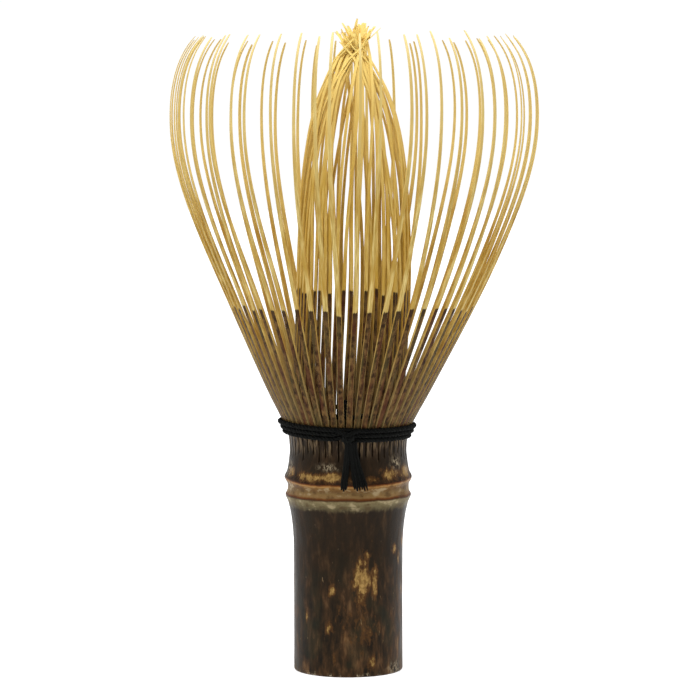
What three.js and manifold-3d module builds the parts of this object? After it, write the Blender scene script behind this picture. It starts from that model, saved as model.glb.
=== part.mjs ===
// A bamboo tea whisk (chasen): a culm of dark bamboo whose upper end is split into two crowns of
// tines, an outer one bent outwards and an inner one drawn together, held apart by one black
// thread. Millimetres, +Z up, the origin is the centre of the foot that the whisk stands on.
import * as THREE from "three";
import { mergeVertices } from "three/addons/utils/BufferGeometryUtils.js";
import Module from "manifold-3d";

const wasm = await Module();
wasm.setup();

// ---- Driving dimensions ----

const STRIPS = 18; // primary splits of the culm
const TINES_PER_STRIP = 3; // outer tines of each strip, and as many inner ones
const PITCH = (2 * Math.PI) / (STRIPS * TINES_PER_STRIP); // angle from one tine to the next
const FRONT = THREE.MathUtils.degToRad(-89.2); // where the middle outer tine of strip 01 stands
const LEAN = 0.0085; // sideways shift of the crown for each millimetre of height

const HANDLE_R = 9.9; // outer radius of the culm below its node
const BORE_R = 6.9; // the culm's natural hollow
const FOOT_CHAMFER = 0.3;
const SEPTUM_BOTTOM_Z = 31.2; // the node's own wall, which closes the hollow
const SEPTUM_TOP_Z = 33.4;
const RIM_Z = 43.3; // where the culm ends and its tines begin
const RIM_R = 10.95;
const CUP_R = 9.0; // inside of the culm at its rim
const SPLIT_BOTTOM_Z = 39.6; // how far the primary splits run down
const SPLIT_WIDTH = 0.3;
const STRAIGHT_TOP_Z = 21; // top of the culm's straight part

const CUT = 0.3; // gap between pieces that are one piece of bamboo on the real whisk
const ROOT_Z = RIM_Z + CUT; // lowest point of every tine
const WEB_SHARE = [0.003, 0.018]; // the stretch of its tines' length that keeps a strip whole

const OUTER_ROOT_R = 11.0; // outer face of the outer crown at its root
const OUTER_ROOT_TILT = THREE.MathUtils.degToRad(27);
const OUTER_ROOT_PULL = 41.5; // how long the crown keeps the tilt of its root
const OUTER_BELLY = new THREE.Vector2(34.4, 103); // widest point of the outer crown
const OUTER_BELLY_PULL = { below: 10.5, above: 8 }; // how long it stays upright there
const OUTER_TIP = new THREE.Vector2(29.2, 115.6);
const OUTER_TIP_PULL = new THREE.Vector2(2.6, -2.4); // back along the curl of the tip

// (distance from the axis, height) up the outer face of the inner crown. Its tips cross the axis.
const INNER_FACE = [
  [9.8, ROOT_Z],
  [10.35, 60],
  [10.25, 78],
  [9.1, 93.5],
  [6.8, 104],
  [3.4, 111.4],
  [0, 115.2],
  [-4.3, 118.7],
];
const INNER_LAYERS = [1.2, 2.0, 2.8]; // how far a strip's three tines pass from the axis
const INNER_CROSSING = [0.4, 0.88]; // the stretch of length in which they move that far aside
const INNER_NESTING = 0.2; // how far each layer lies outside the one before it
const INNER_PARTING = [0.25, 0.6]; // the stretch in which the layers part

const TIP_CROWDING = 1.5; // above 1, a tine's sections stand closer together near its tip

const THREAD_R = 0.42;
const THREAD_CLEARANCE = 0.19; // room for the tines' roots to turn under the thread
const COURSES = 3; // turns of thread round the outer tines
const COURSE_RISE = 0.88;
const COURSE_STEPS = 28; // straight lengths that each turn is drawn with
const FIRST_COURSE_Z = 43.45;
const WEAVE_Z = 47.4; // the hidden course between the two crowns
const WEAVE_R = 11.0;

const KNOT_HALF_SIZE = [1.35, 0.7, 1.0]; // across, outwards and up
const KNOT_Z = 44.2;
const KNOT_REST_Z = 44.6; // height of the course that the knot lies on
const KNOT_LIFT = 0.75; // from that course's outside to the middle of the knot

// (share of the way from start to end, distance in front of the axis, height) down a tail.
const TAIL_LINE = [
  [0, 12.85, 42.9],
  [0.05, 12.6, 41],
  [0.5, 12.35, 38],
  [1, 12.4, 34.5],
];

// ---- Colours ----

const bamboo = () =>
  new THREE.MeshStandardMaterial({ color: 0xc9a35a, roughness: 0.55, metalness: 0 });
const skin = () =>
  new THREE.MeshStandardMaterial({ color: 0x44311f, roughness: 0.4, metalness: 0 });
const thread = () =>
  new THREE.MeshStandardMaterial({ color: 0x0f110e, roughness: 0.85, metalness: 0 });

// ---- Solids ----

// A three.js geometry as a manifold-3d solid.
function toSolid(geometry) {
  const bare = geometry.clone();
  bare.deleteAttribute("normal");
  bare.deleteAttribute("uv");
  const merged = mergeVertices(bare, 1e-4);
  return new wasm.Manifold(
    new wasm.Mesh({
      numProp: 3,
      vertProperties: merged.attributes.position.array,
      triVerts: new Uint32Array(merged.index.array),
    }),
  );
}

// A manifold-3d solid as a three.js geometry.
function toGeometry(solid) {
  const mesh = solid.getMesh();
  const geometry = new THREE.BufferGeometry();
  geometry.setAttribute("position", new THREE.BufferAttribute(mesh.vertProperties, 3));
  geometry.setIndex(new THREE.BufferAttribute(mesh.triVerts, 1));
  geometry.computeVertexNormals();
  return geometry;
}

// A straight unit bar bent into place: place(a, b, s) gives the point that a across the bar's
// width (-0.5 on the left of someone who looks at the whisk, 0.5 on the right), b across its
// thickness (-0.5 inside, 0.5 outside) and s along it (0 to 1) stand for.
function bentBar(across, along, place) {
  const bar = new THREE.BoxGeometry(1, 1, 1, across, 1, along);
  const points = bar.attributes.position;
  for (let i = 0; i < points.count; i++) {
    const p = place(-points.getX(i), points.getY(i), points.getZ(i) + 0.5);
    points.setXYZ(i, p.x, p.y, p.z);
  }
  return bar;
}

// The point at distance u from the axis along the direction angle, v to its side and z up.
function polar(angle, u, v, z) {
  return new THREE.Vector3(
    u * Math.cos(angle) - v * Math.sin(angle) + LEAN * Math.max(z - RIM_Z, 0),
    u * Math.sin(angle) + v * Math.cos(angle),
    z,
  );
}

// ---- The crowns ----

// Outer faces of the tines, as curves of (distance from the axis, height).
function outerFace() {
  const root = new THREE.Vector2(OUTER_ROOT_R, ROOT_Z);
  const rootPull = new THREE.Vector2(
    OUTER_ROOT_R + OUTER_ROOT_PULL * Math.sin(OUTER_ROOT_TILT),
    ROOT_Z + OUTER_ROOT_PULL * Math.cos(OUTER_ROOT_TILT),
  );
  const belowBelly = new THREE.Vector2(OUTER_BELLY.x, OUTER_BELLY.y - OUTER_BELLY_PULL.below);
  const aboveBelly = new THREE.Vector2(OUTER_BELLY.x, OUTER_BELLY.y + OUTER_BELLY_PULL.above);
  const tipPull = OUTER_TIP.clone().add(OUTER_TIP_PULL);
  const face = new THREE.CurvePath();
  face.add(new THREE.CubicBezierCurve(root, rootPull, belowBelly, OUTER_BELLY));
  face.add(new THREE.CubicBezierCurve(OUTER_BELLY, aboveBelly, tipPull, OUTER_TIP));
  return face;
}

function innerFace() {
  return new THREE.SplineCurve(INNER_FACE.map(([r, z]) => new THREE.Vector2(r, z)));
}

// Width and thickness of a tine at s along it, each from its root, middle and tip values.
function taper(root, middle, tip) {
  return (s) =>
    s < 0.5
      ? THREE.MathUtils.lerp(root, middle, s * 2)
      : THREE.MathUtils.lerp(middle, tip, s * 2 - 1);
}

const OUTER = {
  face: outerFace(),
  width: taper(1.02, 0.95, 0.6),
  thickness: taper(0.85, 0.42, 0.24),
  steps: 7,
  sideways: () => 0,
  outwards: () => 0,
};
const INNER = {
  face: innerFace(),
  width: taper(0.84, 0.6, 0.3),
  thickness: taper(0.75, 0.36, 0.16),
  steps: 9,
  sideways: (s, number) =>
    INNER_LAYERS[number] * THREE.MathUtils.smoothstep(s, ...INNER_CROSSING),
  outwards: (s, number) =>
    INNER_NESTING * (number - 1) * THREE.MathUtils.smoothstep(s, ...INNER_PARTING),
};

// A point of the crown's wall: u and z at s along the face, b across the thickness.
function wallPoint(crown, b, s, outwards = 0) {
  const along = crown.face.getPointAt(s);
  const tangent = crown.face.getTangentAt(s);
  const off = (b - 0.5) * crown.thickness(s) + outwards;
  return { u: along.x + tangent.y * off, z: along.y - tangent.x * off };
}

// A tine bends most near its tip, so its sections stand closer together there.
function tine(crown, angle, number) {
  return bentBar(1, crown.steps, (a, b, t) => {
    const s = 1 - (1 - t) ** TIP_CROWDING;
    const { u, z } = wallPoint(crown, b, s, crown.outwards(s, number));
    return polar(angle, u, a * crown.width(s) + crown.sideways(s, number), z);
  });
}

// The web of wall that still joins a strip's three tines at their roots, from the middle of the
// first to the middle of the last.
function web(crown, middle) {
  const span = (TINES_PER_STRIP - 1) * PITCH;
  const recess = 0.6; // of the tines' thickness, so that the tines stand out of it
  return bentBar(1, 1, (a, b, t) => {
    const s = THREE.MathUtils.lerp(...WEB_SHARE, t);
    const { u, z } = wallPoint(crown, b * recess, s);
    return polar(middle + a * span, u, 0, z);
  });
}

function strip(crown, middle) {
  let solid = toSolid(web(crown, middle));
  for (let i = 0; i < TINES_PER_STRIP; i++) {
    const angle = middle + (i - (TINES_PER_STRIP - 1) / 2) * PITCH;
    solid = solid.add(toSolid(tine(crown, angle, i)));
  }
  return toGeometry(solid);
}

// ---- The handle ----

// The culm: open below, closed by the septum of its node, a cup above it, split at its rim.
function culm() {
  const outline = new THREE.Path();
  outline.moveTo(0, SEPTUM_BOTTOM_Z + 0.6);
  outline.quadraticCurveTo(BORE_R, SEPTUM_BOTTOM_Z + 0.6, BORE_R, SEPTUM_BOTTOM_Z - 3);
  outline.lineTo(BORE_R, 0);
  outline.lineTo(HANDLE_R - FOOT_CHAMFER, 0);
  outline.lineTo(HANDLE_R, FOOT_CHAMFER);
  outline.lineTo(HANDLE_R, STRAIGHT_TOP_Z);
  outline.quadraticCurveTo(HANDLE_R + 0.1, 28.5, 11.0, 31.6); // swelling under the node
  outline.quadraticCurveTo(11.65, 32.4, 11.1, 33.2); // lower ridge: the leaf scar
  outline.lineTo(11.1, 34.4);
  outline.quadraticCurveTo(11.95, 35.4, 11.3, 36.3); // upper ridge
  outline.quadraticCurveTo(10.7, 38.4, 10.7, 40.3); // waist
  outline.quadraticCurveTo(10.7, 42, RIM_R, RIM_Z);
  outline.lineTo(CUP_R, RIM_Z);
  outline.quadraticCurveTo(8.4, 37, 7.4, 35);
  outline.quadraticCurveTo(6.6, SEPTUM_TOP_Z, 0, SEPTUM_TOP_Z);
  const profile = outline.getPoints(3);
  const turned = new THREE.LatheGeometry(profile, 2 * STRIPS);
  turned.rotateX(Math.PI / 2);
  let solid = toSolid(turned);
  for (let i = 0; i < STRIPS; i++) {
    solid = solid.subtract(toSolid(primarySplit(FRONT + (i + 0.5) * TINES_PER_STRIP * PITCH)));
  }
  return toGeometry(solid);
}

// The cutter for one primary split, a thin upright blade through the wall.
function primarySplit(angle) {
  const inside = CUP_R - 2;
  const outside = RIM_R + 2;
  const top = RIM_Z + 2;
  const blade = new THREE.BoxGeometry(outside - inside, SPLIT_WIDTH, top - SPLIT_BOTTOM_Z);
  blade.translate((inside + outside) / 2, 0, (top + SPLIT_BOTTOM_Z) / 2);
  blade.rotateZ(angle);
  return blade;
}

// ---- The thread ----

// A round thread with a given number of sides along a curve.
function threadAlong(curve, steps, radius, sides) {
  const section = new THREE.Shape();
  for (let i = 0; i < sides; i++) {
    const turn = (2 * Math.PI * i) / sides;
    const move = i === 0 ? "moveTo" : "lineTo";
    section[move](radius * Math.cos(turn), radius * Math.sin(turn));
  }
  return new THREE.ExtrudeGeometry(section, { steps, extrudePath: curve, bevelEnabled: false });
}

// Radius of the whisk's outside where a course of thread at height z lies against it.
function boundRadius(z) {
  const slope = Math.tan(OUTER_ROOT_TILT);
  const proud = (THREAD_R + THREAD_CLEARANCE) / Math.cos(OUTER_ROOT_TILT);
  return OUTER_ROOT_R + slope * (z - ROOT_Z) + proud;
}

// The courses wound round the outer tines, rising by one thread each turn from the front.
class Winding extends THREE.Curve {
  getPoint(t) {
    const turn = t * COURSES;
    const z = FIRST_COURSE_Z + turn * COURSE_RISE;
    return polar(FRONT + turn * 2 * Math.PI, boundRadius(z), 0, z);
  }
}

// A closed course that lies between the two crowns and keeps them apart.
function innerWeave() {
  const sides = 6;
  const section = [];
  for (let i = 0; i <= sides; i++) {
    const turn = (-2 * Math.PI * i) / sides;
    section.push(
      new THREE.Vector2(WEAVE_R + THREAD_R * Math.cos(turn), WEAVE_Z - THREAD_R * Math.sin(turn)),
    );
  }
  return new THREE.LatheGeometry(section, 2 * STRIPS).rotateX(Math.PI / 2);
}

// The flat knot at the front, and one of the two thread ends that hang from it.
function knot() {
  const lump = new THREE.SphereGeometry(1, 10, 6);
  lump.scale(...KNOT_HALF_SIZE);
  return lump.translate(0, -(boundRadius(KNOT_REST_Z) + THREAD_R + KNOT_LIFT), KNOT_Z);
}

function tail(startX, endX, radius) {
  const points = TAIL_LINE.map(
    ([share, front, z]) =>
      new THREE.Vector3(THREE.MathUtils.lerp(startX, endX, share), -front, z),
  );
  return threadAlong(new THREE.CatmullRomCurve3(points), 6, radius, 6);
}

// ---- The whisk ----

const whisk = new THREE.Group();

function addPiece(name, geometry, material) {
  const mesh = new THREE.Mesh(geometry, material);
  mesh.name = name;
  whisk.add(mesh);
}

addPiece("culm_handle", culm(), skin());
for (let i = 0; i < STRIPS; i++) {
  const number = String(i + 1).padStart(2, "0");
  const middle = FRONT + i * TINES_PER_STRIP * PITCH;
  addPiece("outer_tines_" + number, strip(OUTER, middle), bamboo());
  addPiece("inner_tines_" + number, strip(INNER, middle + PITCH / 2), bamboo());
}
addPiece("binding_thread", threadAlong(new Winding(), COURSES * COURSE_STEPS, THREAD_R, 6), thread());
addPiece("inner_weave_thread", innerWeave(), thread());
addPiece("thread_knot", knot(), thread());
addPiece("thread_tail_left", tail(-0.5, -0.9, 0.35), thread());
addPiece("thread_tail_right", tail(0.5, 2.3, 0.5), thread());

export default whisk;
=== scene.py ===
"""The bamboo tea whisk: the looks of a culm handle, two crowns of split tines and a black thread.

Lengths are millimetres until a mesh is made, and angles are radians. Every piece is placed by
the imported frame: its heights and radii are those of the CAD nodes it stands for.
"""

import math
import random

import bmesh
import bpy
import numpy as np
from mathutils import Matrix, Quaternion, Vector, noise


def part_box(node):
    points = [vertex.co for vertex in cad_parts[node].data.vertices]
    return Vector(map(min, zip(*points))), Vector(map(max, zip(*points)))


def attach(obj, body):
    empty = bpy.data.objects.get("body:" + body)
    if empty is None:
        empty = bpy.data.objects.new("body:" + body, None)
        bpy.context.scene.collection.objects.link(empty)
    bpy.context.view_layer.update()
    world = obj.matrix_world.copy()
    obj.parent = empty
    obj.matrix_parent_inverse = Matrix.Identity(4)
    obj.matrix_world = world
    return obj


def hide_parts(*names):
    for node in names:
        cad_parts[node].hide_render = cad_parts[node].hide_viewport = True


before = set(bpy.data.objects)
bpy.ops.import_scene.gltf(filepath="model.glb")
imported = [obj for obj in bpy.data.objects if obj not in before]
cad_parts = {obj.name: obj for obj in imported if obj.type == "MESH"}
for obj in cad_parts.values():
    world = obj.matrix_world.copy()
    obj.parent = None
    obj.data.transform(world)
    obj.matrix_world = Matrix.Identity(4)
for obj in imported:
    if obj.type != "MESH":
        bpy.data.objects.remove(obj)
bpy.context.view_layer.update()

MM = 0.001
TAU = 2 * math.pi


# ---- Camera ----

EYE = Vector((0.35, -560.0, 99.9))
AIM = Vector((0.35, 0.0, 58.7))
LENS = 158.1
ROLL = math.radians(-0.05)


def make_camera():
    data = bpy.data.cameras.new("camera")
    data.lens = LENS
    data.sensor_width = 36
    data.clip_start = 0.02
    camera = bpy.data.objects.new("camera", data)
    bpy.context.scene.collection.objects.link(camera)
    camera.rotation_mode = "QUATERNION"
    camera.location = EYE * MM
    look = (AIM - EYE).to_track_quat("-Z", "Y")
    camera.rotation_quaternion = look @ Quaternion((0, 0, 1), ROLL)
    bpy.context.scene.camera = camera


make_camera()


# ---- Driving dimensions, those of the CAD part ----

STRIPS = 18
TINES_PER_STRIP = 3
TINES = STRIPS * TINES_PER_STRIP
PITCH = TAU / TINES
FRONT = math.radians(-89.2)  # the direction of the first outer tine, the middle of its strip

RIM_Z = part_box("culm_handle")[1].z / MM
HANDLE_R = 9.9
BORE_R = 6.9
SEPTUM_BOTTOM_Z = 31.2
SEPTUM_TOP_Z = 33.4
CUP_R = 9.0
ROOT_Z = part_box("outer_tines_01")[0].z / MM

# The node's ridge runs lower than in the CAD at the front, and higher at the back.
NODE_SAG = 0.42
NODE_LIFT = 0.12

OUTER_ROOT_R = 11.0
OUTER_ROOT_TILT = math.radians(26.6)
INNER_LAYERS = (1.2, 2.0, 2.8)  # how far a strip's inner tines pass the axis sideways
INNER_NESTING = 0.2  # how far one of them lies inside the next
BOUND_IN = 0.15  # how far the thread draws the outer tines inwards

SKIN_TOP_OUTER = 67.0  # how far up the dark skin was left on the tines
SKIN_TOP_INNER = 69.9

# How far to the right the crown stands: up to LEAN_FULL_Z it bends, then it only leans.
LEAN = 0.85
LEAN_FULL_Z = 75.0
LEAN_RATE = 0.006


# ---- Small tools ----


def smoothstep(x, low, high):
    t = min(1.0, max(0.0, (x - low) / (high - low)))
    return t * t * (3 - 2 * t)


def lerp(a, b, t):
    return a + (b - a) * t


def crown_lean(z):
    """How far to the right the crown stands at a height, because its tines aren't all alike."""
    return LEAN * smoothstep(z, RIM_Z, LEAN_FULL_Z) + LEAN_RATE * max(z - RIM_Z, 0)


def polar(angle, u, v, z):
    """The point u from the axis along angle, v to its side and z up, with the crown's lean."""
    lean = crown_lean(z)
    c, s = math.cos(angle), math.sin(angle)
    return Vector((u * c - v * s + lean, u * s + v * c, z))


def wave(*position):
    """Smooth noise from -1 to 1."""
    return noise.noise(Vector(position))


class Profile:
    """A curve in the plane of distance from the axis and height, read by its share of length."""

    def __init__(self, points):
        self.points = np.array(points, float)
        steps = np.linalg.norm(np.diff(self.points, axis=0), axis=1)
        self.length = np.concatenate([[0], np.cumsum(steps)])

    def at(self, s):
        where = s * self.length[-1]
        return Vector([np.interp(where, self.length, self.points[:, k]) for k in (0, 1)])

    def tangent(self, s):
        reach = 0.002
        step = self.at(min(1, s + reach)) - self.at(max(0, s - reach))
        return step.normalized()


def bezier(p0, p1, p2, p3, count=120):
    t = np.linspace(0, 1, count)[:, None]
    p0, p1, p2, p3 = (np.array(p, float) for p in (p0, p1, p2, p3))
    return (1 - t) ** 3 * p0 + 3 * (1 - t) ** 2 * t * p1 + 3 * (1 - t) * t**2 * p2 + t**3 * p3


def spline(points, count=40):
    """A Catmull-Rom curve through points, the ends repeated."""
    p = [np.array(q, float) for q in (points[0], *points, points[-1])]
    t = np.linspace(0, 1, count, endpoint=False)[:, None]
    runs = []
    for a, b, c, d in zip(p, p[1:], p[2:], p[3:]):
        runs.append(
            0.5 * (2 * b + (c - a) * t + (2 * a - 5 * b + 4 * c - d) * t**2
                   + (3 * b - a - 3 * c + d) * t**3)
        )
    return np.vstack([*runs, [p[-1]]])


# ---- Meshes ----


class Body:
    """Collects lofted shapes for one piece, with a material index for each face and named
    values for each vertex, which the materials read."""

    def __init__(self, *value_names):
        self.points = []
        self.faces = []
        self.kinds = []
        self.values = {name: [] for name in value_names}

    def point(self, position, values):
        self.points.append(position)
        for name, value in zip(self.values, values):
            self.values[name].append(value)

    def face(self, corners, kind=0):
        self.faces.append(corners)
        self.kinds.append(kind)

    def loft(self, rings, side_kinds, end_kind=0, values=None):
        """rings are lists of points, side_kinds the material of each strip round the section.
        Both ends are flat."""
        width = len(rings[0])
        first = len(self.points)
        for i, ring in enumerate(rings):
            for k, position in enumerate(ring):
                self.point(position, values[i][k] if values else ())
        for i in range(len(rings) - 1):
            a = first + i * width
            b = a + width
            for k in range(width):
                n = (k + 1) % width
                self.face((a + k, a + n, b + n, b + k), side_kinds[k % len(side_kinds)])
        last = first + (len(rings) - 1) * width
        self.face(tuple(first + k for k in reversed(range(width))), end_kind)
        self.face(tuple(last + k for k in range(width)), end_kind)

    def build(self, name, materials, sharp_degrees=40):
        mesh = bpy.data.meshes.new(name)
        mesh.from_pydata([p * MM for p in self.points], [], self.faces)
        for material in materials:
            mesh.materials.append(material)
        mesh.polygons.foreach_set("material_index", self.kinds)
        for value_name, values in self.values.items():
            attribute = mesh.attributes.new(value_name, "FLOAT", "POINT")
            attribute.data.foreach_set("value", np.array(values, np.float32))
        tidy = bmesh.new()
        tidy.from_mesh(mesh)
        bmesh.ops.recalc_face_normals(tidy, faces=tidy.faces)
        tidy.to_mesh(mesh)
        tidy.free()
        mesh.shade_smooth()
        mesh.set_sharp_from_angle(angle=math.radians(sharp_degrees))
        piece = bpy.data.objects.new(name, mesh)
        bpy.context.scene.collection.objects.link(piece)
        return piece


# ---- Materials ----


def srgb(red, green, blue):
    """A colour as seen, from 0 to 255, as the linear colour that a shader takes."""
    linear = [
        c / 12.92 if c <= 0.04045 else ((c + 0.055) / 1.055) ** 2.4
        for c in (red / 255, green / 255, blue / 255)
    ]
    return (*linear, 1.0)


class Material:
    """A node material, built by calls that each return the new node's output socket."""

    def __init__(self, name):
        self.material = bpy.data.materials.new(name)
        self.material.use_nodes = True
        self.tree = self.material.node_tree
        self.tree.nodes.clear()

    def node(self, kind, inputs=None, output=0, **settings):
        made = self.tree.nodes.new(kind)
        for key, value in settings.items():
            setattr(made, key, value)
        for key, value in (inputs or {}).items():
            if isinstance(value, bpy.types.NodeSocket):
                self.tree.links.new(value, made.inputs[key])
            else:
                made.inputs[key].default_value = value
        return made.outputs[output]

    def value(self, name):
        return self.node("ShaderNodeAttribute", output="Fac", attribute_name=name)

    def place(self):
        """The place on the piece, in millimetres."""
        coordinates = self.node("ShaderNodeTexCoord", output="Object")
        scale = (1 / MM,) * 3
        return self.node("ShaderNodeMapping", {"Vector": coordinates, "Scale": scale})

    def stretch(self, vector, x, y, z):
        return self.node("ShaderNodeMapping", {"Vector": vector, "Scale": (x, y, z)})

    def coordinate(self, vector, axis):
        return self.node("ShaderNodeSeparateXYZ", {"Vector": vector}, output=axis)

    def noise(self, vector, detail=4.0, roughness=0.55, distortion=0.0):
        inputs = {"Vector": vector, "Scale": 1.0, "Detail": detail}
        inputs |= {"Roughness": roughness, "Distortion": distortion}
        return self.node("ShaderNodeTexNoise", inputs)

    def math(self, operation, a, b=0.0, c=0.0):
        return self.node("ShaderNodeMath", {0: a, 1: b, 2: c}, operation=operation)

    def ramp(self, factor, low, high, to_low=0.0, to_high=1.0):
        """factor from low to high becomes to_low to to_high, smoothly and no further."""
        inputs = {"Value": factor, "From Min": low, "From Max": high}
        inputs |= {"To Min": to_low, "To Max": to_high}
        return self.node("ShaderNodeMapRange", inputs, interpolation_type="SMOOTHSTEP")

    def mix(self, factor, a, b):
        made = self.tree.nodes.new("ShaderNodeMix")
        made.data_type = "RGBA"
        for key, value in ((0, factor), (6, a), (7, b)):
            if isinstance(value, bpy.types.NodeSocket):
                self.tree.links.new(value, made.inputs[key])
            else:
                made.inputs[key].default_value = value
        return made.outputs[2]

    def bands(self, factor, stops):
        """A colour ramp through (position, colour) stops."""
        made = self.tree.nodes.new("ShaderNodeValToRGB")
        self.tree.links.new(factor, made.inputs[0])
        elements = made.color_ramp.elements
        while len(elements) < len(stops):
            elements.new(0.5)
        for element, (position, colour) in zip(elements, stops):
            element.position = position
            element.color = colour
        return made.outputs[0]

    def combine(self, x, y, z):
        return self.node("ShaderNodeCombineXYZ", {"X": x, "Y": y, "Z": z})

    def bump(self, height, distance, strength):
        """A relief as deep as distance, in millimetres."""
        inputs = {"Height": height, "Distance": distance * MM, "Strength": strength}
        return self.node("ShaderNodeBump", inputs)

    def surface(self, **inputs):
        shader = self.tree.nodes.new("ShaderNodeBsdfPrincipled")
        for key, value in inputs.items():
            socket = shader.inputs[key.replace("_", " ")]
            if isinstance(value, bpy.types.NodeSocket):
                self.tree.links.new(value, socket)
            else:
                socket.default_value = value
        end = self.tree.nodes.new("ShaderNodeOutputMaterial")
        self.tree.links.new(shader.outputs[0], end.inputs["Surface"])
        return self.material


# The node's bands, as (height, colour) from the swelling under it up to the waist. The light band
# just under the upper rusty line is a painted highlight.
NODE_BANDS = [
    (28.0, srgb(76, 66, 44)),
    (30.8, srgb(86, 77, 53)),
    (31.99, srgb(106, 95, 66)),
    (32.28, srgb(54, 29, 12)),
    (32.55, srgb(96, 55, 22)),
    (32.83, srgb(126, 98, 60)),
    (33.6, srgb(110, 87, 53)),
    (34.3, srgb(92, 66, 35)),
    (34.93, srgb(108, 78, 40)),
    # A painted highlight: the light line just under the node's upper rusty line.
    (35.18, srgb(146, 108, 60)),
    (35.39, srgb(98, 54, 20)),
    (35.62, srgb(40, 21, 9)),
    (36.12, srgb(36, 24, 11)),
    (37.52, srgb(27, 19, 9)),
    (42.0, srgb(28, 21, 12)),
]
BLOOM = srgb(166, 150, 116)
GRIME = srgb(60, 40, 20)
NEAR_BLACK = srgb(30, 22, 13)


def stained_ground(m, place, height, blotches, streaks, fibres):
    """The smoked stain between the foot and the node: mottled, and near-black higher up."""
    ground = m.bands(
        m.math("MULTIPLY_ADD", streaks, 0.5, m.math("MULTIPLY", blotches, 0.5)),
        [
            (0.38, srgb(22, 17, 11)),
            (0.46, srgb(40, 29, 17)),
            (0.53, srgb(56, 39, 23)),
            (0.60, srgb(84, 60, 38)),
            (0.70, srgb(112, 86, 54)),
        ],
    )
    tint = m.noise(m.stretch(place, 0.24, 0.24, 0.2), detail=2.0)
    ground = m.mix(m.ramp(tint, 0.52, 0.64, 0.0, 0.4), ground, srgb(34, 36, 24))
    ground = m.mix(m.ramp(fibres, 0.6, 0.8, 0.0, 0.3), ground, srgb(92, 70, 40))
    return m.mix(m.ramp(height, 8.0, 23.0, 0.0, 0.78), ground, NEAR_BLACK)


def node_colour(m, place, height, blotches, streaks, weather, ground):
    """The pale and rusty bands of the node over the ground, with grime and with pale bloom. The
    bands follow the ridge, and the bloom leaves out the leaf scar and what is above the groove."""
    wobble = m.math("MULTIPLY_ADD", blotches, 0.6, -0.3)
    sag = m.ramp(m.coordinate(place, "Y"), -HANDLE_R - 1, -2.0, NODE_SAG, -NODE_LIFT)
    sag = m.math("MULTIPLY", sag, m.ramp(height, 33.0, 34.2))
    level = m.math("ADD", m.math("ADD", height, wobble), sag)
    lowest, highest = NODE_BANDS[0][0], NODE_BANDS[-1][0]
    span = highest - lowest
    bands = m.bands(
        m.math("DIVIDE", m.math("SUBTRACT", level, lowest), span),
        [((band_z - lowest) / span, colour) for band_z, colour in NODE_BANDS],
    )
    low_edge = m.math("MULTIPLY_ADD", streaks, 1.8, m.math("SUBTRACT", height, 0.9))
    below_waist = m.ramp(level, 36.2, 37.6, 1.0, 0.0)
    near_node = m.math("MULTIPLY", m.ramp(low_edge, 29.9, 31.1), below_waist)
    colour = m.mix(near_node, ground, bands)
    drift = m.noise(m.stretch(place, 0.45, 0.45, 0.8), detail=3.0)
    drifts = m.ramp(drift, 0.5, 0.68, 0.0, 0.55)
    grime = m.math("ADD", drifts, m.ramp(weather, 0.5, 0.7, 0.0, 0.3))
    colour = m.mix(m.math("MULTIPLY", near_node, grime), colour, GRIME)
    bloom = m.math("MULTIPLY", near_node, m.ramp(drift, 0.48, 0.32, 0.0, 0.5))
    below_scar, above_scar = m.ramp(level, 31.9, 32.25, 1.0, 0.0), m.ramp(level, 32.85, 33.2)
    off_the_scar = m.math("ADD", below_scar, above_scar)
    off_the_lines = m.math("MULTIPLY", off_the_scar, m.ramp(level, 34.9, 35.3, 1.0, 0.0))
    return m.mix(m.math("MULTIPLY", bloom, off_the_lines), colour, BLOOM)


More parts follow.
